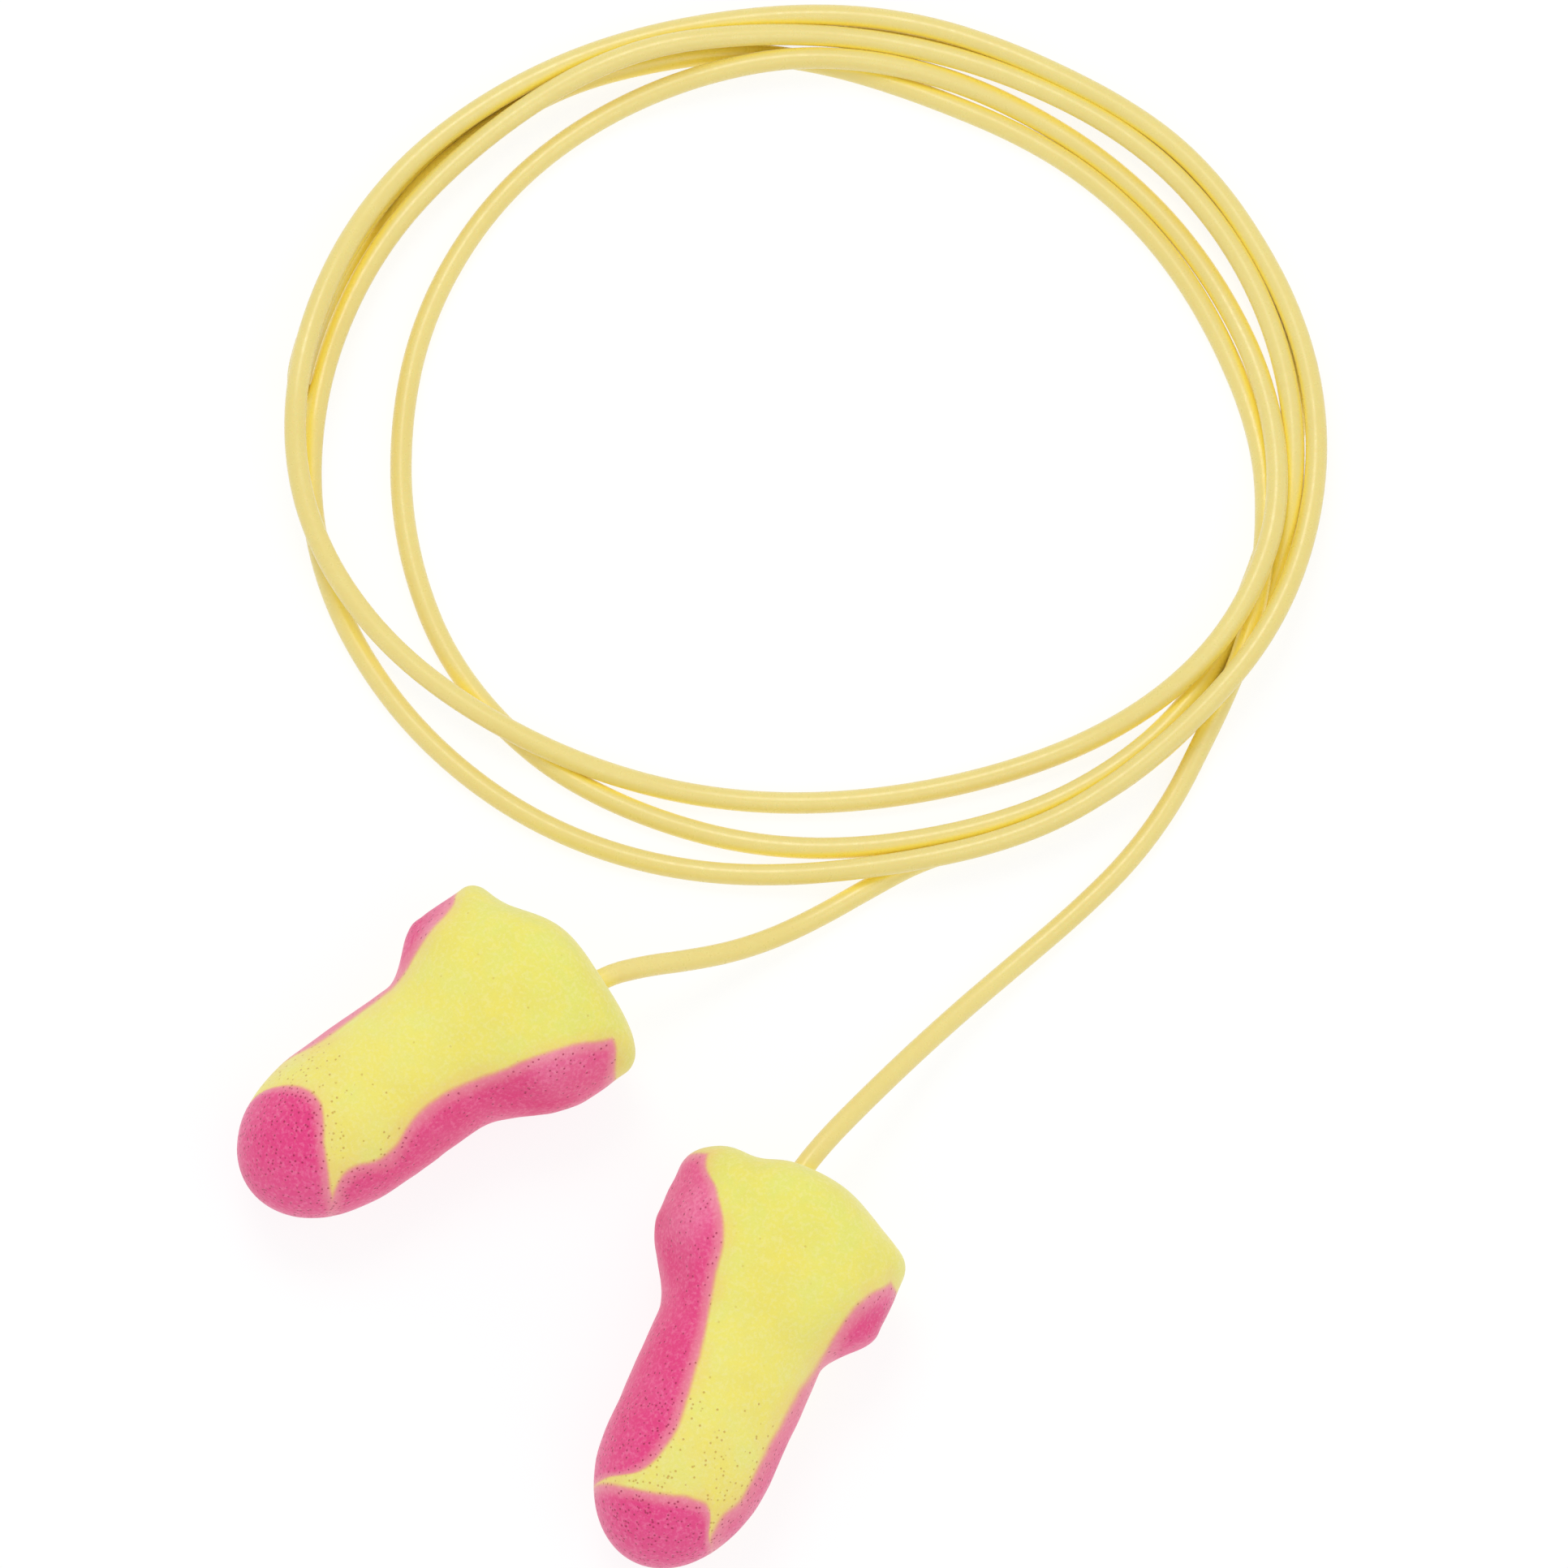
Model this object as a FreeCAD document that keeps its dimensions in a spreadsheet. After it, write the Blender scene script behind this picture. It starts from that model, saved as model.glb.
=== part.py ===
import FreeCAD, Part
import math
import os
from FreeCAD import Placement, Rotation, Vector

# A pair of T-shaped foam ear plugs, joined by one soft vinyl cord that lies coiled
# beside them. Millimetres, +Z up, everything resting on the plane z = 0. The origin is
# under the middle of the two plugs.

doc = FreeCAD.newDocument("ear_plugs")

# ---------------------------------------------------------------- driving dimensions

DIMENSIONS = (
    ("cord_diameter", 1.3),
    ("cord_grip", 4.0),            # length of cord held inside each plug
    ("bond_wall", 0.3),            # glue round the cord
    ("bond_floor", 0.5),           # glue behind the cord's cut end
    ("stem_radius", 5.15),
    ("stem_start", 11.2),          # distances along a plug are from its base
    ("stem_end", 17.7),
    ("tip_length", 7.2),
    ("flange_contact", 7.0),       # where the head of a lying plug touches the surface
    ("left_base_x", 0.76),
    ("left_base_y", 16.2),
    ("left_heading", 35.6),        # direction from tip to base, anticlockwise from +X
    ("left_cord_offset", 1.7),     # the cord leaves the base this far beside the axis
    ("right_base_x", 14.37),
    ("right_base_y", 2.3),
    ("right_heading", 66.4),
    ("right_cord_offset", -0.9),
    ("coil_center_x", 14.3),
    ("coil_center_y", 48.5),
    ("coil_half_width", 31.2),
    ("coil_half_depth", 27.1),
    ("hollow_center_x", 16.0),
    ("hollow_center_y", 49.2),
    ("hollow_half_width", 25.4),
    ("hollow_half_depth", 22.3),
    ("coil_height", 3.9),
    ("coil_edge_round", 1.2),
)

# Oval sections of the head: distance from the base, half width, half depth.
HEAD_SECTIONS = (
    (0.0, 4.40, 3.30),
    (1.2, 6.30, 4.75),
    (2.8, 7.40, 5.50),
    (4.3, 7.35, 5.60),
    (6.0, 7.30, 5.60),
    (7.6, 6.75, 5.50),
    (9.0, 5.85, 5.30),
    (10.3, 5.25, 5.17),
    (11.2, 5.15, 5.15),
)

sheet = doc.addObject("Spreadsheet::Sheet", "Dimensions")
sheet_row = 0


def add_dimension(alias, value):
    global sheet_row
    sheet_row += 1
    sheet.set("A%d" % sheet_row, alias)
    sheet.set("B%d" % sheet_row, str(value))
    sheet.setAlias("B%d" % sheet_row, alias)


for alias, value in DIMENSIONS:
    add_dimension(alias, value)
for index, (station, half_width, half_depth) in enumerate(HEAD_SECTIONS):
    add_dimension("head_station_%d" % index, station)
    add_dimension("head_width_%d" % index, half_width)
    add_dimension("head_depth_%d" % index, half_depth)
doc.recompute()


def size(alias):
    return float(sheet.get(alias))


def bind(thing, **formulas):
    for name, formula in formulas.items():
        thing.setExpression(name.replace("__", "."), formula)


# ---------------------------------------------------------------- foam plug

def make_cylinder(name, radius, height, x="0", z="0"):
    cylinder = doc.addObject("Part::Cylinder", name)
    bind(cylinder, Radius=radius, Height=height,
         Placement__Base__x=x, Placement__Base__z=z)
    return cylinder


def make_head(side):
    """The oval head, lofted from the domed base to the round stem."""
    sections = []
    for index in range(len(HEAD_SECTIONS)):
        oval = doc.addObject("Part::Ellipse", "%s_head_section_%d" % (side, index))
        bind(oval,
             MajorRadius="Dimensions.head_width_%d" % index,
             MinorRadius="Dimensions.head_depth_%d" % index,
             Placement__Base__z="Dimensions.head_station_%d" % index)
        sections.append(oval)
    head = doc.addObject("Part::Loft", "%s_head" % side)
    head.Sections = sections
    head.Solid = True
    head.Ruled = False
    return head


def make_tip(side):
    """The rounded end that goes into the ear, half of an ellipsoid."""
    tip = doc.addObject("Part::Ellipsoid", "%s_tip" % side)
    tip.Angle1 = 0
    tip.Angle2 = 90
    tip.Angle3 = 360
    bind(tip, Radius1="Dimensions.tip_length", Radius2="Dimensions.stem_radius",
         Radius3="Dimensions.stem_radius", Placement__Base__z="Dimensions.stem_end")
    return tip


def make_plug(side):
    """One moulded foam plug along its own Z axis, base at 0, with a blind cord hole."""
    stem = make_cylinder("%s_stem" % side, "Dimensions.stem_radius",
                         "Dimensions.stem_end - Dimensions.stem_start",
                         z="Dimensions.stem_start")
    body = doc.addObject("Part::MultiFuse", "%s_moulding" % side)
    body.Shapes = [make_head(side), stem, make_tip(side)]
    hole = make_cylinder("%s_cord_hole" % side,
                         "Dimensions.cord_diameter / 2 + Dimensions.bond_wall",
                         "Dimensions.cord_grip + Dimensions.bond_floor",
                         x="Dimensions.%s_cord_offset" % side)
    plug = doc.addObject("Part::Cut", "%s_foam_plug" % side)
    plug.Base = body
    plug.Tool = hole
    return plug


def make_bond(side):
    """The cup of glue that holds the cord's end in the hole."""
    glue = make_cylinder("%s_glue" % side,
                         "Dimensions.cord_diameter / 2 + Dimensions.bond_wall",
                         "Dimensions.cord_grip + Dimensions.bond_floor",
                         x="Dimensions.%s_cord_offset" % side)
    cord_room = make_cylinder("%s_cord_room" % side, "Dimensions.cord_diameter / 2",
                              "Dimensions.cord_grip", x="Dimensions.%s_cord_offset" % side)
    bond = doc.addObject("Part::Cut", "%s_cord_bond" % side)
    bond.Base = glue
    bond.Tool = cord_room
    return bond


def lying_placement(side, shape):
    """Turn a plug from its own axis to the way it lies, touching z = 0."""
    drop = HEAD_REST_DEPTH - size("stem_radius")
    tilt = math.atan2(drop, size("stem_end") - size("flange_contact"))
    heading = math.radians(size("%s_heading" % side))
    to_tip = Vector(-math.cos(heading) * math.cos(tilt),
                    -math.sin(heading) * math.cos(tilt),
                    -math.sin(tilt))
    sideways = Vector(math.sin(heading), -math.cos(heading), 0)
    turn = Rotation(sideways, to_tip.cross(sideways), to_tip, "ZXY")
    base = Vector(size("%s_base_x" % side), size("%s_base_y" % side), 0)
    lying = shape.copy()
    lying.Placement = Placement(base, turn)
    base.z = -lying.optimalBoundingBox(False).ZMin
    return Placement(base, turn)


HEAD_REST_DEPTH = max(half_depth for station, half_width, half_depth in HEAD_SECTIONS)

placements = {}
nodes = []
for side in ("left", "right"):
    plug = make_plug(side)
    bond = make_bond(side)
    doc.recompute()
    placements[side] = lying_placement(side, plug.Shape)
    for piece in (plug, bond):
        piece.Placement = placements[side]
        nodes.append(piece)

# ---------------------------------------------------------------- cord

def exit_point(side, distance):
    """A point on the cord's straight stretch, this far out of the plug's base."""
    along_plug = Vector(size("%s_cord_offset" % side), 0, -distance)
    return placements[side].multVec(along_plug)


def rounded_path(points):
    """Straight runs joined by tangent arcs, each arc as large as its two runs allow."""
    edges = []
    start = points[0]
    for before, corner, after in zip(points, points[1:], points[2:]):
        back = before - corner
        ahead = after - corner
        turn = math.pi - back.getAngle(ahead)
        reach = 0.45 * min(back.Length, ahead.Length)
        radius = reach / math.tan(turn / 2)
        print("arc radius %.2f mm, turn %.0f degrees" % (radius, math.degrees(turn)))
        arc_start = corner + back.normalize() * reach
        arc_end = corner + ahead.normalize() * reach
        bisector = (back + ahead).normalize()
        middle = corner + bisector * (radius / math.cos(turn / 2) - radius)
        edges.append(Part.LineSegment(start, arc_start).toShape())
        edges.append(Part.Arc(arc_start, middle, arc_end).toShape())
        start = arc_end
    edges.append(Part.LineSegment(start, points[-1]).toShape())
    return Part.Wire(edges)




ON_SURFACE = size("cord_diameter") / 2 + 0.01
STRAIGHT_OUT = 3.4

left_route = [
    exit_point("left", -size("cord_grip")),
    exit_point("left", STRAIGHT_OUT),
    Vector(11.5, 17.7, 1.9),
    Vector(16.0, 20.2, 0.75),
    Vector(20.2, 22.8, ON_SURFACE),
]
right_route = [
    exit_point("right", -size("cord_grip")),
    exit_point("right", STRAIGHT_OUT),
    Vector(21.3, 11.6, 2.6),
    Vector(28.8, 18.5, 0.85),
    Vector(34.1, 23.7, ON_SURFACE),
    Vector(37.3, 28.9, ON_SURFACE),
    Vector(39.9, 34.0, ON_SURFACE),
]


def make_oval_slab(name, center, half_width, half_depth):
    outline = doc.addObject("Part::Ellipse", "%s_outline" % name)
    bind(outline, MajorRadius="Dimensions.%s" % half_width,
         MinorRadius="Dimensions.%s" % half_depth,
         Placement__Base__x="Dimensions.%s_x" % center,
         Placement__Base__y="Dimensions.%s_y" % center)
    slab = doc.addObject("Part::Extrusion", name)
    slab.Base = outline
    slab.DirMode = "Custom"
    slab.Dir = Vector(0, 0, 1)
    slab.Solid = True
    bind(slab, LengthFwd="Dimensions.coil_height")
    return slab


def make_coil():
    """The outer shape of the coiled turns: a flat oval ring."""
    ring = doc.addObject("Part::Cut", "coil_ring")
    ring.Base = make_oval_slab("coil_outside", "coil_center",
                               "coil_half_width", "coil_half_depth")
    ring.Tool = make_oval_slab("coil_hollow", "hollow_center",
                               "hollow_half_width", "hollow_half_depth")
    doc.recompute()
    top = size("coil_height")
    rims = [number for number, edge in enumerate(ring.Shape.Edges, 1)
            if edge.BoundBox.ZMin > top - 0.01]
    rounded = doc.addObject("Part::Fillet", "cord_coil")
    rounded.Base = ring
    rounded.Edges = [(number, size("coil_edge_round"), size("coil_edge_round"))
                     for number in rims]
    return rounded


def make_lead(name, points, coil):
    """One uncoiled stretch of the cord, from inside its plug to the coil's side."""
    path = rounded_path(points)
    radius = size("cord_diameter") / 2
    section = Part.Wire(Part.Circle(points[0], points[1] - points[0], radius).toShape())
    tube = path.makePipeShell([section], True, True)
    expected = math.pi * radius ** 2 * path.Length
    print("%s length %.1f mm, volume %.2f of %.2f mm3"
          % (name, path.Length, tube.Volume, expected))
    lead = doc.addObject("Part::Feature", name)
    lead.Shape = tube.cut(coil.Shape).Solids[0]
    return lead


coil = make_coil()
doc.recompute()
nodes.append(coil)
nodes.append(make_lead("left_cord_lead", left_route, coil))
nodes.append(make_lead("right_cord_lead", right_route, coil))

# ---------------------------------------------------------------- checks and export

for thing in doc.Objects:
    if "Invalid" in thing.State or "Error" in thing.State:
        raise RuntimeError("%s failed: %s" % (thing.Name, thing.State))

os.makedirs("parts", exist_ok=True)
for node in nodes:
    node.Label = node.Name
    shape = node.Shape
    if shape.isNull() or not shape.isValid() or len(shape.Solids) != 1:
        raise RuntimeError("%s is not one valid solid" % node.Name)
    box = shape.optimalBoundingBox(False)
    print("%-16s volume %8.2f  x %6.2f..%6.2f  y %6.2f..%6.2f  z %5.2f..%5.2f"
          % (node.Label, shape.Volume, box.XMin, box.XMax, box.YMin, box.YMax,
             box.ZMin, box.ZMax))
    shape.exportStep("parts/%s.step" % node.Label)
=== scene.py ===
import math

import bpy
from mathutils import Matrix, Vector, noise


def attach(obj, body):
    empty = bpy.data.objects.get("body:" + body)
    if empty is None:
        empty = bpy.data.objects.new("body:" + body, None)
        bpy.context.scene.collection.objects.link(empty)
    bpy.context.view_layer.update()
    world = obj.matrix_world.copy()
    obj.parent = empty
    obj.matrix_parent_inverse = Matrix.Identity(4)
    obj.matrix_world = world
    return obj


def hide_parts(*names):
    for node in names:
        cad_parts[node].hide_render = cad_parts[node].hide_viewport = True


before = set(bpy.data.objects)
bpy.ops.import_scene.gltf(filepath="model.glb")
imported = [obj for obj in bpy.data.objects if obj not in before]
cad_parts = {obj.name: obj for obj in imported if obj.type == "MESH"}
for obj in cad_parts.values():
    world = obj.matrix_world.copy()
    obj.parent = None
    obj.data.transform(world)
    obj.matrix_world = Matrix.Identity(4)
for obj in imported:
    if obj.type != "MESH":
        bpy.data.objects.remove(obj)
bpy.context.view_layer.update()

# ---------------------------------------------------------------- camera
ELEVATION = math.radians(78)
LOOK_AT = Vector((0.0129, 0.0279, 0.0))
DISTANCE = 2.5
FIELD = 0.0938  # width of the floor in view
SENSOR = 36

camera = bpy.data.objects.new("camera", bpy.data.cameras.new("camera"))
bpy.context.collection.objects.link(camera)
camera.location = LOOK_AT + DISTANCE * Vector((0, -math.cos(ELEVATION), math.sin(ELEVATION)))
camera.rotation_euler = (math.pi / 2 - ELEVATION, 0, 0)
camera.data.sensor_width = SENSOR
camera.data.lens = SENSOR * DISTANCE / FIELD
camera.data.clip_start = 0.01
bpy.context.scene.camera = camera

# ---------------------------------------------------------------- cord
D = 0.0013  # cord diameter
OVAL = Vector((0.01431, 0.0488))  # middle of the coil
HALF_X, HALF_Y = 0.03107, 0.02705  # the outer oval that the places are measured in from
LEAN = 1 / math.tan(ELEVATION)  # how far a lifted strand seems to shift, per unit of height

# Places along the coil: angle round it in degrees from the plugs' side,
# distance inside the outer oval and height of the middle, both in cord diameters.
FIRST_TURN = (
    (13, 0.65, 0.5), (18, 0.78, 0.5), (30, 0.50, 0.5), (42, 0.55, 0.5), (54, 0.65, 0.5),
    (64, 0.80, 0.5), (72, 1.10, 0.9), (80, 1.33, 1.35), (90, 1.45, 1.4), (105, 1.55, 1.4),
    (120, 1.52, 1.4), (135, 1.47, 1.4), (150, 1.63, 1.4), (162, 1.64, 1.4), (176, 1.53, 1.45),
    (188, 1.33, 1.95), (200, 1.05, 2.3), (212, 1.30, 1.8), (225, 1.54, 1.5), (240, 1.47, 1.5),
    (252, 1.38, 1.6), (262, 1.22, 2.3), (267, 1.12, 2.5), (273, 0.97, 1.9), (281, 0.70, 1.0),
    (289, 0.50, 0.6), (300, 0.32, 0.5), (315, 0.06, 0.5), (330, -0.10, 0.5), (345, 0.05, 0.5),
)
SECOND_TURN = (
    (360, 0.47, 0.95), (370, 0.67, 1.6), (380, 0.55, 1.75), (390, 0.45, 1.9), (402, 0.62, 2.1),
    (410, 0.67, 2.3), (418, 0.52, 2.5), (426, 0.40, 2.4), (435, 0.39, 1.8), (450, 0.40, 1.45),
    (465, 0.48, 1.4), (476, 0.58, 1.4), (493, 0.43, 1.4), (510, 0.71, 1.6), (530, 0.50, 1.4),
    (550, 0.60, 1.45), (562, 0.48, 1.45), (580, 0.23, 1.5), (592, 0.04, 1.75), (600, 0.04, 2.35),
    (607, 0.08, 3.1), (614, 0.13, 3.55), (620, 0.15, 3.75), (627, 0.22, 3.65), (633, 0.33, 3.25),
    (640, 0.55, 2.6), (649, 1.03, 2.1), (660, 1.73, 1.8), (674, 2.65, 1.55), (682, 3.02, 1.45),
    (690, 3.28, 1.1), (702, 3.52, 0.6),
)
THIRD_TURN = (
    (720, 3.73, 0.5), (735, 3.70, 0.5), (748, 3.38, 0.6), (760, 2.85, 1.0), (770, 2.38, 1.8),
    (780, 2.02, 2.35), (790, 1.92, 2.5), (800, 1.95, 2.4), (810, 2.33, 1.8), (820, 2.70, 1.1),
    (830, 3.05, 0.6), (840, 3.20, 0.5), (855, 3.18, 0.5), (870, 2.98, 0.6), (882, 2.68, 1.0),
    (892, 2.53, 1.4), (902, 2.53, 1.5), (912, 2.82, 1.3), (925, 3.28, 0.7), (940, 3.86, 0.5),
    (960, 4.70, 0.5), (975, 5.10, 0.5), (985, 5.20, 0.5), (995, 5.06, 0.5), (1010, 4.46, 0.5),
    (1024, 3.60, 0.5), (1035, 3.00, 0.5), (1047, 2.42, 0.5), (1060, 2.08, 0.5), (1070, 1.80, 0.5),
)
FOURTH_TURN = (
    (1080, 1.63, 0.7), (1090, 1.55, 1.15), (1098, 1.47, 1.3), (1110, 1.21, 1.32),
    (1125, 1.20, 1.3), (1134, 1.42, 1.12), (1142, 1.75, 0.72), (1150, 2.00, 0.5), (1158, 2.00, 0.5),
    (1166, 1.65, 0.5), (1176, 1.20, 0.5), (1190, 1.00, 0.5), (1230, 1.00, 0.5), (1260, 1.00, 0.5),
    (1272, 0.85, 0.5), (1282, 0.60, 0.5), (1293, 0.35, 0.5), (1304, 0.27, 0.5), (1312, 0.22, 0.75),
    (1320, 0.19, 1.35), (1328, 0.17, 2.15), (1335, 0.15, 2.62),
)
RETURN = (
    (1337, 1.05, 0.5), (1325, 1.05, 0.5), (1312, 1.15, 0.5), (1304, 1.24, 0.5), (1291, 1.32, 0.5),
    (1280, 1.71, 0.5), (1270, 2.03, 0.5), (1260, 2.65, 0.5), (1250, 3.33, 0.5), (1240, 3.82, 0.5),
    (1225, 4.06, 0.5), (1200, 4.22, 0.5), (1186, 4.00, 0.5), (1176, 3.46, 0.5), (1166, 2.78, 0.97),
    (1158, 2.30, 1.42), (1152, 1.85, 1.5), (1146, 1.28, 1.5), (1140, 0.80, 1.5), (1134, 0.25, 1.4),
)
STEP = 8  # degrees between control points, 45 to a turn


def place(degrees, inset, height):
    """The point at that angle, drawn that far inside the outer oval, with its middle that high."""
    turn = math.radians(degrees)
    x, y = HALF_X * math.sin(turn), -HALF_Y * math.cos(turn)
    share = 1 - inset * D / math.hypot(x, y * math.sin(ELEVATION))
    z = height * D
    return Vector((OVAL.x + x * share, OVAL.y + y * share - z * LEAN, z))


def smooth(keys, at):
    """The keys' values at an angle, on a smooth curve through them."""
    forward = keys[-1][0] > keys[0][0]
    i = 1
    while i < len(keys) - 1 and (keys[i][0] < at) == forward:
        i += 1
    a, b = keys[i - 1], keys[i]
    before, after = keys[max(i - 2, 0)], keys[min(i + 1, len(keys) - 1)]
    span = b[0] - a[0]
    t = (at - a[0]) / span
    values = []
    for k in (1, 2):
        start = (b[k] - before[k]) / (b[0] - before[0]) * span
        end = (after[k] - a[k]) / (after[0] - a[0]) * span
        values.append(
            a[k] * (1 + 2 * t) * (1 - t) ** 2 + b[k] * t * t * (3 - 2 * t)
            + start * t * (1 - t) ** 2 - end * t * t * (1 - t)
        )
    return values


def run(keys):
    """Control points STEP degrees apart from the first key to the last."""
    first, last = keys[0][0], keys[-1][0]
    count = round(abs(last - first) / STEP)
    angles = [first + (last - first) * i / count for i in range(count + 1)]
    return [place(angle, *smooth(keys, angle)) for angle in angles]


# The hidden fold: the cord turns back on itself in a slanting plane under the outer pair.
FOLD_AT, FOLD_INSET, FOLD_RADIUS, FOLD_SLANT = 1341, 0.62, 0.00155, math.radians(68)
FOLD_CORNERS = (67.5, 22.5, -22.5, -67.5)  # degrees; the half turn's four control points


def fold_points():
    outward = (place(FOLD_AT, 0, 0) - place(FOLD_AT, 1, 0)).normalized()
    ahead, behind = place(FOLD_AT + 2, FOLD_INSET, 0), place(FOLD_AT - 2, FOLD_INSET, 0)
    onward = (ahead - behind).normalized()
    across = outward * math.cos(FOLD_SLANT) + Vector((0, 0, math.sin(FOLD_SLANT)))
    middle = place(FOLD_AT, FOLD_INSET, 0.5)
    middle.z += FOLD_RADIUS * math.sin(FOLD_SLANT)
    reach = FOLD_RADIUS / math.cos(math.radians(FOLD_CORNERS[1]))
    turns = [math.radians(corner) for corner in FOLD_CORNERS]
    return [middle + across * reach * math.sin(t) + onward * reach * math.cos(t) for t in turns]


# The loose ends in mm, from inside each plug to the coil.
LEFT_LEAD = (
    (-1.5, 12.6, 5.85), (1.75, 14.82, 5.85), (4.5, 15.75, 4.9), (7.27, 16.4, 3.5),
    (9.9, 17.2, 2.2), (12.5, 18.3, 1.25), (15.2, 19.75, 0.75), (17.8, 21.3, 0.65),
)
RIGHT_LEAD = (
    (11.9, -0.4, 5.85), (13.55, 2.66, 5.85), (15.4, 5.1, 5.3), (17.9, 7.9, 4.2),
    (20.6, 10.8, 2.9), (23.6, 13.8, 1.75), (26.9, 16.8, 1.0), (30.4, 19.9, 0.66),
    (33.6, 23.1, 0.66), (36.1, 26.6, 0.68), (37.9, 30.2, 0.95),
)

points = [Vector(p) / 1000 for p in LEFT_LEAD]
points += run(FIRST_TURN + SECOND_TURN + THIRD_TURN + FOURTH_TURN)
points += fold_points()
points += run(RETURN)
points += [Vector(p) / 1000 for p in reversed(RIGHT_LEAD)]

curve = bpy.data.curves.new("cord", "CURVE")
curve.dimensions = "3D"
spline = curve.splines.new("NURBS")
spline.points.add(len(points) - 1)
for control, point in zip(spline.points, points):
    control.co = (*point, 1)
spline.order_u = 3
spline.use_endpoint_u = True
spline.resolution_u = 6
curve.bevel_depth = D / 2
curve.bevel_resolution = 6
cord = bpy.data.objects.new("cord", curve)
bpy.context.collection.objects.link(cord)


# ---------------------------------------------------------------- materials
def node(tree, kind, inputs, **settings):
    """A shader node with its inputs set or linked, by name or by number."""
    made = tree.nodes.new("ShaderNode" + kind)
    for key, value in settings.items():
        setattr(made, key, value)
    for key, value in inputs.items():
        if isinstance(value, bpy.types.NodeSocket):
            tree.links.new(value, made.inputs[key])
        else:
            made.inputs[key].default_value = value
    return made


def maths(tree, operation, *values):
    return node(tree, "Math", dict(enumerate(values)), operation=operation).outputs[0]


def times(tree, first, second):
    return maths(tree, "MULTIPLY", first, second)


def remap(tree, value, low, high, out_low=0.0, out_high=1.0):
    """The value taken smoothly from low..high to out_low..out_high."""
    inputs = {"Value": value, "From Min": low, "From Max": high}
    inputs.update({"To Min": out_low, "To Max": out_high})
    return node(tree, "MapRange", inputs, interpolation_type="SMOOTHSTEP").outputs["Result"]


def mix(tree, share, first, second):
    inputs = {0: share, 6: first, 7: second}
    return node(tree, "Mix", inputs, data_type="RGBA").outputs[2]


def noise_of(tree, where, scale, detail=2.0, roughness=0.5):
    inputs = {"Vector": where, "Scale": scale, "Detail": detail, "Roughness": roughness}
    return node(tree, "TexNoise", inputs).outputs["Fac"]


def ramp(tree, value, stops):
    """A colour ramp through (position, colour) stops."""
    made = node(tree, "ValToRGB", {"Fac": value})
    elements = made.color_ramp.elements
    while len(elements) < len(stops):
        elements.new(0.5)
    for element, (position, colour) in zip(elements, stops):
        element.position = position
        element.color = (*colour, 1)
    return made.outputs["Color"]


def start_material(name):
    made = bpy.data.materials.new(name)
    made.use_nodes = True
    tree = made.node_tree
    where = node(tree, "TexCoord", {}).outputs["Object"]
    return made, tree, tree.nodes["Principled BSDF"], where


def bumped(tree, shader, height, strength, distance):
    inputs = {"Height": height, "Strength": strength, "Distance": distance}
    tree.links.new(node(tree, "Bump", inputs).outputs["Normal"], shader.inputs["Normal"])


def cord_material():
    """Soft vinyl: warm yellow, satin, with a very fine grain and slow changes of tone."""
    made, tree, shader, where = start_material("cord_vinyl")
    slow = noise_of(tree, where, 90, 3)
    fine = noise_of(tree, where, 2600, 3, 0.6)
    grain = noise_of(tree, where, 6000, 1)
    tone = ramp(tree, slow, ((0.3, (0.825, 0.680, 0.218)), (0.7, (0.860, 0.727, 0.255))))
    tint = remap(tree, fine, 0.35, 0.65, 0.0, 0.35)
    colour = mix(tree, tint, tone, (0.805, 0.650, 0.200, 1))
    # a warmer, brighter colour in crevices stands in for light carried through the vinyl
    open_air = node(tree, "AmbientOcclusion", {"Distance": 0.0016}, samples=8).outputs["AO"]
    colour = mix(tree, remap(tree, open_air, 0.92, 0.38), colour, (1.0, 0.82, 0.13, 1))
    tree.links.new(colour, shader.inputs["Base Color"])
    tree.links.new(remap(tree, fine, 0.3, 0.7, 0.26, 0.36), shader.inputs["Roughness"])
    shader.inputs["Subsurface Weight"].default_value = 0.15
    shader.inputs["Subsurface Radius"].default_value = (0.0009, 0.0006, 0.0002)
    shader.inputs["Subsurface Scale"].default_value = 1.0
    shader.inputs["Specular IOR Level"].default_value = 0.7
    shader.inputs["Sheen Weight"].default_value = 0.35
    shader.inputs["Sheen Roughness"].default_value = 0.35
    bumped(tree, shader, maths(tree, "ADD", fine, times(tree, grain, 0.5)), 0.08, 0.00004)
    return made


LENGTH = 0.026  # the axial span of the pattern curves
HALF = 0.008  # half of their sideways span


def curve_of(tree, value, points):
    """A smooth curve through (0..1, 0..1) points."""
    made = node(tree, "FloatCurve", {"Value": value})
    line = made.mapping.curves[0]
    line.points[0].location, line.points[1].location = points[0], points[-1]
    for point in points[1:-1]:
        line.points.new(*point)
    made.mapping.update()
    return made.outputs["Value"]


def foam_places(tree, where):
    """Sideways and along places in the foam, a little unsteady so that no border is ruled."""
    inputs = {"Vector": where, "Scale": 300.0, "Detail": 4.0, "Roughness": 0.5}
    wander = node(tree, "TexNoise", inputs).outputs["Color"]
    push = node(tree, "VectorMath", {0: wander, 1: (0.5, 0.5, 0.5)}, operation="SUBTRACT").outputs[0]
    push = node(tree, "VectorMath", {0: push, "Scale": 0.0004}, operation="SCALE").outputs[0]
    moved = node(tree, "VectorMath", {0: where, 1: push}, operation="ADD").outputs[0]
    split = node(tree, "SeparateXYZ", {0: moved})
    side, below = split.outputs["X"], split.outputs["Z"]
    side = maths(tree, "ADD", side, remap(tree, below, -0.001, -0.005, 0.0, 0.0012))
    return side, times(tree, split.outputs["Y"], -1.0)


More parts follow.
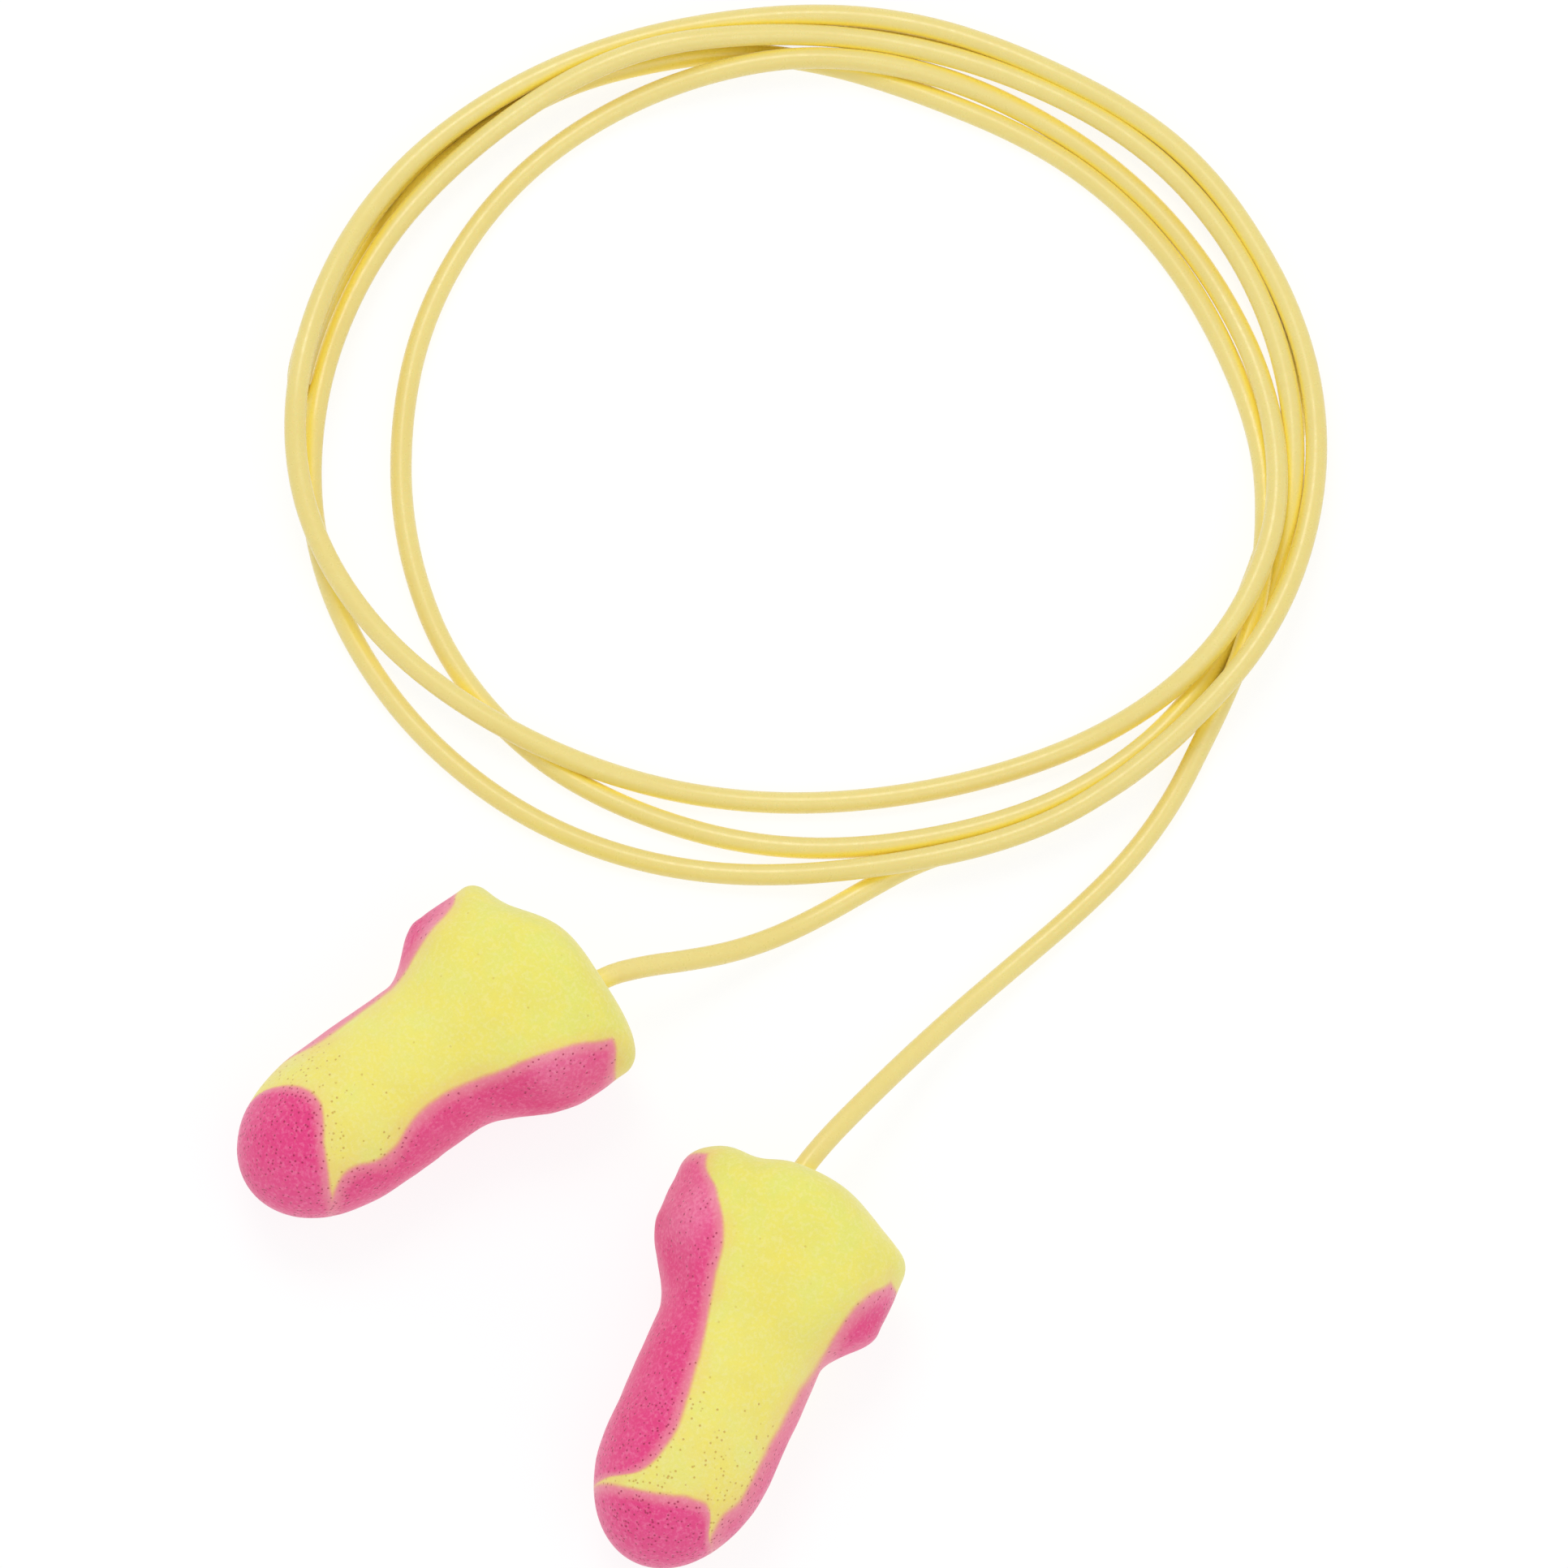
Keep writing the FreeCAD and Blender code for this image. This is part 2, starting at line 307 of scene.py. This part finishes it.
def depth_in_pink(tree, side, along, left, right, rim, tip):
    """How far inside the pink a place is, in metres, and below 0 in the yellow."""
    along_share = maths(tree, "DIVIDE", along, LENGTH)
    side_share = maths(tree, "MULTIPLY_ADD", side, 0.5 / HALF, 0.5)

    def sideways_at(points):
        line = [(t / 1000 / LENGTH, (u / 1000 + HALF) / (2 * HALF)) for t, u in points]
        return maths(tree, "MULTIPLY_ADD", curve_of(tree, along_share, line), 2 * HALF, -HALF)

    def along_at(points):
        line = [((u / 1000 + HALF) / (2 * HALF), t / 1000 / LENGTH) for u, t in points]
        return times(tree, curve_of(tree, side_share, line), LENGTH)

    inside = maths(tree, "SUBTRACT", sideways_at(left), side)
    inside = maths(tree, "MAXIMUM", inside, maths(tree, "SUBTRACT", side, sideways_at(right)))
    inside = maths(tree, "MINIMUM", inside, maths(tree, "SUBTRACT", along, along_at(rim)))
    return maths(tree, "MAXIMUM", inside, maths(tree, "SUBTRACT", along, along_at(tip)))


def wing_shading(tree, side, along):
    """Shares of the painted highlight on the lobe of each wing of the head, and of the painted shade
    in the valley below it.
    """
    out = maths(tree, "ABSOLUTE", side)
    lobe = times(tree, remap(tree, out, 0.0035, 0.0048), remap(tree, out, 0.0068, 0.0054))
    lobe = times(tree, lobe, remap(tree, along, 0.0078, 0.0058))
    lobe = times(tree, lobe, remap(tree, along, 0.0030, 0.0046))
    fall = maths(tree, "ADD", maths(tree, "MULTIPLY_ADD", out, 0.8, along), -0.01255)
    fall = maths(tree, "ABSOLUTE", fall)
    valley = times(tree, remap(tree, fall, 0.0016, 0.0003), remap(tree, out, 0.0030, 0.0042))
    return lobe, valley


def open_cells(tree, where, along, share):
    """Where the fine pores are, most of them in the pink cap and close to it, and on the head: a
    share for the painted shade inside them.
    """
    pores = node(tree, "TexVoronoi", {"Vector": where, "Scale": 3400.0, "Randomness": 1.0})
    pick = node(tree, "SeparateColor", {0: pores.outputs["Color"]}).outputs[0]
    near_tip = remap(tree, along, 0.0135, 0.0195)
    on_head = remap(tree, along, 0.0080, 0.0050)
    in_pink = maths(tree, "MULTIPLY_ADD", near_tip, 0.75, 0.28)
    in_pink = maths(tree, "ADD", in_pink, times(tree, on_head, 0.26))
    in_yellow = maths(tree, "MULTIPLY_ADD", near_tip, 0.50, 0.004)
    in_yellow = times(tree, in_yellow, maths(tree, "SUBTRACT", 1.0, share))
    chance = maths(tree, "ADD", times(tree, in_pink, share), in_yellow)
    patchy = remap(tree, noise_of(tree, where, 500, 2), 0.3, 0.6, 0.5, 1.3)
    wanted = maths(tree, "SUBTRACT", times(tree, chance, patchy), pick)
    wanted = remap(tree, wanted, -0.03, 0.03)
    return times(tree, remap(tree, pores.outputs["Distance"], 0.31, 0.14), wanted)


def foam_material(name, left, right, rim, tip):
    """Two-colour foam. left and right are (along, sideways) points of the inner edges of the two
    pink stripes. rim and tip are (sideways, along) points of where the stripes start and of the
    pink cap's edge. All are in millimetres."""
    made, tree, shader, where = start_material(name)
    side, along = foam_places(tree, where)
    inside = depth_in_pink(tree, side, along, left, right, rim, tip)
    slow = noise_of(tree, where, 260, 3)
    patches = noise_of(tree, where, 750, 3)
    cells = noise_of(tree, where, 5200, 2, 0.6)
    mottle = noise_of(tree, where, 4200, 2, 0.6)

    along_share = maths(tree, "DIVIDE", along, LENGTH)
    yellow = ramp(tree, along_share, (
        (0.02, (0.79, 0.765, 0.140)), (0.16, (0.82, 0.791, 0.165)),
        (0.50, (0.855, 0.795, 0.190)), (0.92, (0.868, 0.745, 0.185)),
    ))
    yellow = mix(tree, remap(tree, slow, 0.42, 0.68, 0.0, 0.55), yellow, (0.87, 0.74, 0.12, 1))
    yellow = mix(tree, remap(tree, slow, 0.50, 0.32, 0.0, 0.40), yellow, (0.80, 0.83, 0.20, 1))
    yellow = mix(tree, remap(tree, patches, 0.42, 0.62, 0.0, 0.40), yellow, (0.91, 0.80, 0.13, 1))
    yellow = mix(tree, remap(tree, mottle, 0.46, 0.66, 0.0, 0.35), yellow, (0.90, 0.84, 0.36, 1))
    warm = times(tree, remap(tree, inside, -0.0011, -0.0001), remap(tree, slow, 0.3, 0.6))
    yellow = mix(tree, times(tree, warm, 0.45), yellow, (0.88, 0.62, 0.21, 1))

    pink = ramp(tree, along_share, (
        (0.10, (0.850, 0.110, 0.300)), (0.38, (0.830, 0.055, 0.240)), (0.90, (0.820, 0.058, 0.250)),
    ))
    lobe, valley = wing_shading(tree, side, along)
    # painted light and shade on the wings: paler pink on the lobe where it faces the light, deeper
    # pink in the valley where it turns away
    pink = mix(tree, times(tree, lobe, 0.80), pink, (0.91, 0.230, 0.410, 1))
    pink = mix(tree, times(tree, valley, 0.75), pink, (0.780, 0.030, 0.205, 1))
    pink = mix(tree, remap(tree, slow, 0.35, 0.75, 0.0, 0.35), pink, (0.88, 0.16, 0.36, 1))
    pink = mix(tree, remap(tree, mottle, 0.40, 0.62, 0.30, 0.0), pink, (0.72, 0.020, 0.155, 1))
    pink = mix(tree, remap(tree, mottle, 0.50, 0.68, 0.0, 0.30), pink, (0.93, 0.25, 0.42, 1))

    share = remap(tree, inside, -0.00022, 0.00026)
    colour = mix(tree, share, yellow, pink)
    border = times(tree, remap(tree, inside, -0.0001, 0.0002), remap(tree, inside, 0.0009, 0.0002))
    colour = mix(tree, times(tree, border, 0.42), colour, (0.90, 0.42, 0.42, 1))
    colour = mix(tree, remap(tree, cells, 0.50, 0.75, 0.0, 0.10), colour, (0.90, 0.70, 0.55, 1))
    open_cell = open_cells(tree, where, along, share)
    # painted shade inside the pores, darker yellow or darker pink; the pores are also dented in the
    # bump below
    pore_shade = mix(tree, share, (0.62, 0.37, 0.07, 1), (0.38, 0.010, 0.07, 1))
    colour = mix(tree, times(tree, open_cell, 0.80), colour, pore_shade)
    tree.links.new(colour, shader.inputs["Base Color"])
    tree.links.new(remap(tree, cells, 0.3, 0.7, 0.72, 0.90), shader.inputs["Roughness"])
    shader.inputs["Specular IOR Level"].default_value = 0.25
    shader.inputs["Sheen Weight"].default_value = 0.4
    shader.inputs["Sheen Roughness"].default_value = 0.5

    height = maths(tree, "MULTIPLY_ADD", open_cell, -1.6, cells)
    height = maths(tree, "ADD", height, times(tree, noise_of(tree, where, 1100, 2), 0.9))
    bumped(tree, shader, height, 0.35, 0.00010)
    return made


def glue_material():
    """Dried clear glue, slightly cloudy and glossy."""
    made, tree, shader, where = start_material("glue")
    cloud = noise_of(tree, where, 1500, 3)
    colour = ramp(tree, cloud, ((0.3, (0.80, 0.76, 0.55)), (0.7, (0.88, 0.84, 0.66))))
    tree.links.new(colour, shader.inputs["Base Color"])
    tree.links.new(remap(tree, cloud, 0.3, 0.7, 0.2, 0.35), shader.inputs["Roughness"])
    bumped(tree, shader, cloud, 0.2, 0.0001)
    return made


# ---------------------------------------------------------------- foam plugs
# Sizes in mm, along a plug from the middle of its domed base. "narrows" is where the head
# passes into the stem, on the left and on the right, and "humps" are how the base is slanted
# towards the tip: (where across it, how wide, how far). The cord leaves the base at "cord_at",
# "base" and "toward" give the axis on the floor, "crown" is how far the dome bulges back from
# "base", and "lumps" picks which small lumps the foam has.
RIGHT_PLUG = {
    "length": 25.7, "stem": 5.15, "head_width": 7.45, "narrows": ((6.0, 11.3), (7.4, 10.9)),
    "tip_start": 17.7, "tip_fullness": 2.25, "tip_lean": -0.25,
    "humps": ((-3.3, 1.4, 0.45), (5.9, 2.8, 1.05)),
    "cord_at": -0.9, "base": (14.4, 2.35), "toward": (4.1, -21.1), "crown": 0.65, "lumps": 47.0,
}
LEFT_PLUG = {
    "length": 24.45, "stem": 5.0, "head_width": 7.35, "narrows": ((7.0, 10.8), (5.2, 11.3)),
    "tip_start": 17.6, "tip_fullness": 2.1, "tip_lean": 0.0,
    "humps": ((-5.3, 2.6, 1.6), (8.5, 3.0, -0.7)),
    "cord_at": 1.7, "base": (0.76, 16.3), "toward": (-19.2, 2.05), "crown": 0.2, "lumps": 11.0,
}
HEAD_DEPTH, DEPTH_NARROWS = 5.6, (6.5, 11.0)  # half the head's thickness, and where it thins
DOME, DOME_FULLNESS = 2.8, 0.35  # length of the domed base, and how square its edge is
SLANT_END = 8  # the slant of the base has died out here
DIMPLE, DIMPLE_WIDTH = 0.5, 1.1  # the sunken place where the cord leaves
LUMP_RADIUS = 5.2  # how far from the axis the heights of the lumps are true
AROUND, DOME_RINGS, TIP_RINGS, RING_GAP = 128, 20, 26, 0.2  # how fine the mesh is
TILT = math.radians(2.41)  # the narrower stem lies lower than the head


def step_down(value, start, end):
    """1 before start, 0 after end, and smooth between."""
    share = min(max((value - start) / (end - start), 0), 1)
    return 1 - share * share * (3 - 2 * share)


def bell(distance, width):
    """1 at no distance, and close to 0 two widths away."""
    return math.exp(-((distance / width) ** 2))


def half_sizes(plug, along):
    """The plug's half width on the left and right and its half depth."""
    head = (plug["head_width"], plug["head_width"], HEAD_DEPTH)
    narrows = (*plug["narrows"], DEPTH_NARROWS)
    sizes = [
        plug["stem"] + (wide - plug["stem"]) * step_down(along, *span)
        for wide, span in zip(head, narrows)
    ]
    if along < DOME:
        round_off = (1 - (1 - along / DOME) ** 2) ** DOME_FULLNESS
    else:
        into_tip = (along - plug["tip_start"]) / (plug["length"] - plug["tip_start"])
        round_off = math.sqrt(1 - min(max(into_tip, 0), 1) ** plug["tip_fullness"])
    return [size * round_off for size in sizes]


def ring_places(plug):
    """Where the rings stand along the plug: close together at both round ends."""
    start, end = plug["tip_start"], plug["length"]
    dome = [DOME * (1 - math.cos(math.pi / 2 * k / DOME_RINGS)) for k in range(1, DOME_RINGS)]
    count = round((start - DOME) / RING_GAP)
    middle = [DOME + (start - DOME) * k / count for k in range(count)]
    tip = [start + (end - start) * math.sin(math.pi / 2 * k / TIP_RINGS) for k in range(TIP_RINGS)]
    return dome + middle + tip


def wing_relief(side, along):
    """How much the foam stands out on the wings of the head: a lobe, and the valley below it."""
    out = abs(side)
    lobe = 0.40 * bell(out - 5.1, 1.5) * bell(along - 5.6, 1.9)
    # the valley runs inwards and towards the tip
    across = (along - 6.6 - 0.8 * (7.3 - out)) / 1.28
    valley = 0.45 * bell(across, 0.8)
    return lobe - valley * step_down(out, 6.8, 7.8) * step_down(-out, -5.2, -3.8)


def plug_point(plug, along, side, depth):
    """A point of the skin in metres, on the plug's own axes. The slanted base, the dimple, the
    lumps, the wings and the lean of the tip are added to the plain shape."""
    slant = sum(far * bell(side - at, wide) for at, wide, far in plug["humps"])
    slant *= step_down(along, DOME, SLANT_END)
    dimple = DIMPLE * bell(side - plug["cord_at"], DIMPLE_WIDTH) * bell(depth, DIMPLE_WIDTH)
    dimple *= step_down(along, 1.0, 3.0)
    here = Vector((side, along, depth))
    lump = noise.noise(here * 0.22 + Vector((plug["lumps"], 0, 0))) * 0.10
    lump += noise.noise(here * 0.9 + Vector((0, plug["lumps"], 0))) * 0.035
    grow = 1 + lump / LUMP_RADIUS
    wing = wing_relief(side, along) * min(max(depth / 2, -1), 1)
    lean = plug["tip_lean"] * (1 - step_down(along, plug["tip_start"], plug["length"]))
    return Vector((side * grow + lean, -(along + slant + dimple), depth * grow + wing)) / 1000


def plug_mesh(name, plug):
    """The skin: rings from the base to the tip, closed by a fan of triangles at each end."""
    vertices, faces = [], []
    rings = ring_places(plug)
    for along in rings:
        left, right, depth = half_sizes(plug, along)
        for k in range(AROUND):
            turn = 2 * math.pi * k / AROUND
            half = right if math.cos(turn) > 0 else left
            vertices.append(plug_point(plug, along, half * math.cos(turn), depth * math.sin(turn)))
    for i in range(len(rings) - 1):
        for k in range(AROUND):
            a, b = i * AROUND + k, i * AROUND + (k + 1) % AROUND
            faces.append((a, b, b + AROUND, a + AROUND))
    for row, along, flip in ((0, 0, True), (len(rings) - 1, plug["length"], False)):
        pole = len(vertices)
        vertices.append(plug_point(plug, along, 0, 0))
        for k in range(AROUND):
            a, b = row * AROUND + k, row * AROUND + (k + 1) % AROUND
            faces.append((b, a, pole) if flip else (a, b, pole))
    mesh = bpy.data.meshes.new(name)
    mesh.from_pydata(vertices, [], faces)
    mesh.shade_smooth()
    return mesh


def lay_down(made, plug):
    """Point a plug along its axis, tilted, and set it on the floor."""
    heading = (Vector(plug["toward"]) - Vector(plug["base"])).normalized()
    axis = Vector((heading.x * math.cos(TILT), heading.y * math.cos(TILT), -math.sin(TILT)))
    side = Vector((-heading.y, heading.x, 0))
    turned = Matrix((side, -axis, axis.cross(side))).transposed().to_4x4()
    start = Vector((*plug["base"], 0)) / 1000 - axis * plug["crown"] / 1000
    placed = Matrix.Translation(start) @ turned
    lowest = min((placed @ v.co).z for v in made.data.vertices)
    made.matrix_world = Matrix.Translation((0, 0, -lowest)) @ placed


def foam_plug(name, plug, material):
    mesh = plug_mesh(name, plug)
    mesh.materials.append(material)
    made = bpy.data.objects.new(name, mesh)
    bpy.context.collection.objects.link(made)
    lay_down(made, plug)
    return made


right_foam = foam_material(
    "foam_right",
    left=((0, -5.6), (2, -6), (4, -4.4), (6, -3.1), (9, -2.4), (15, -1.2), (19.5, -1.1),
          (21, -1.8), (22, -3.6), (26, -8)),
    right=((0, 7.6), (4, 7.2), (6, 6.2), (8, 5.5), (12, 4.8), (16, 4.4), (20, 4.2), (22, 3.5),
           (26, 4)),
    rim=((-8, 2.3), (-6, 1.9), (-4, 2.2), (0, 4.6), (5.5, 4.5), (6.6, 4.4), (8, 4.9)),
    tip=((-8, 23.5), (-4, 22.5), (0, 21.9), (1.7, 21.4), (2.6, 21.5), (3.7, 23.2), (8, 22)),
)
left_foam = foam_material(
    "foam_left",
    left=((0, -7.7), (4, -7.2), (5, -6.3), (8, -5.4), (10, -4.7), (13, -4.4), (17, -4.5),
          (19, -5.1), (26, -8)),
    right=((0, 6.1), (2.2, 5.8), (3.5, 5.2), (6, 4.4), (8, 3.8), (11, 3), (14, 2.9), (17, 3.7),
           (19.5, 3.2), (21, 3.7), (26, 4)),
    rim=((-8, 4.6), (-6, 4.1), (-5, 4.5), (0, 4), (5, 2.4), (6, 1.9), (7, 2.6), (8, 3.9)),
    tip=((-8, 24), (-4.4, 22.3), (-3.8, 20.3), (-2.5, 18.7), (-1.2, 18.3), (0, 18.8), (2, 20),
         (3.5, 20.8), (8, 22)),
)
plugs = (
    foam_plug("foam_left_plug", LEFT_PLUG, left_foam),
    foam_plug("foam_right_plug", RIGHT_PLUG, right_foam),
)
for plug, cad_node in zip(plugs, ("left_foam_plug", "right_foam_plug")):
    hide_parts(cad_node)
    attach(plug, "root")

curve.materials.append(cord_material())
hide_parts("cord_coil", "left_cord_lead", "right_cord_lead")
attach(cord, "root")

glue = glue_material()
for name in ("left_cord_bond", "right_cord_bond"):
    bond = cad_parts[name]
    bond.data.materials.clear()
    bond.data.materials.append(glue)

# ---------------------------------------------------------------- floor and light
FLOOR_HALF = 1.5
FLOOR_SHADE, FLOOR_GLOW, SKY = 0.20, 0.82, 0.74  # a glowing floor leaves only faint shadows

floor_mesh = bpy.data.meshes.new("floor")
square = ((-1, -1), (1, -1), (1, 1), (-1, 1))
corners = [(LOOK_AT.x + FLOOR_HALF * x, LOOK_AT.y + FLOOR_HALF * y, 0) for x, y in square]
floor_mesh.from_pydata(corners, [], [(0, 1, 2, 3)])
floor = bpy.data.objects.new("floor", floor_mesh)
bpy.context.collection.objects.link(floor)
paper = bpy.data.materials.new("paper")
paper.use_nodes = True
paper_shader = paper.node_tree.nodes["Principled BSDF"]
paper_shader.inputs["Base Color"].default_value = (FLOOR_SHADE, FLOOR_SHADE, FLOOR_SHADE, 1)
paper_shader.inputs["Emission Color"].default_value = (1, 1, 1, 1)
paper_shader.inputs["Emission Strength"].default_value = FLOOR_GLOW
paper_shader.inputs["Roughness"].default_value = 0.9
paper_shader.inputs["Specular IOR Level"].default_value = 0.0
floor_mesh.materials.append(paper)

world = bpy.data.worlds.new("studio")
bpy.context.scene.world = world
world.use_nodes = True
sky = world.node_tree.nodes["Background"]
sky.inputs["Color"].default_value = (1, 1, 1, 1)
sky.inputs["Strength"].default_value = SKY


def softbox(name, place_at, size, power):
    lamp = bpy.data.objects.new(name, bpy.data.lights.new(name, "AREA"))
    bpy.context.collection.objects.link(lamp)
    lamp.data.shape = "DISK"
    lamp.data.size = size
    lamp.data.energy = power
    lamp.location = place_at
    lamp.rotation_euler = (LOOK_AT - lamp.location).to_track_quat("-Z", "Y").to_euler()


softbox("key", (-0.06, 0.33, 0.62), 0.32, 1.02)
softbox("fill", (0.22, -0.22, 0.60), 0.50, 0.50)
bpy.context.scene.view_settings.view_transform = "Standard"
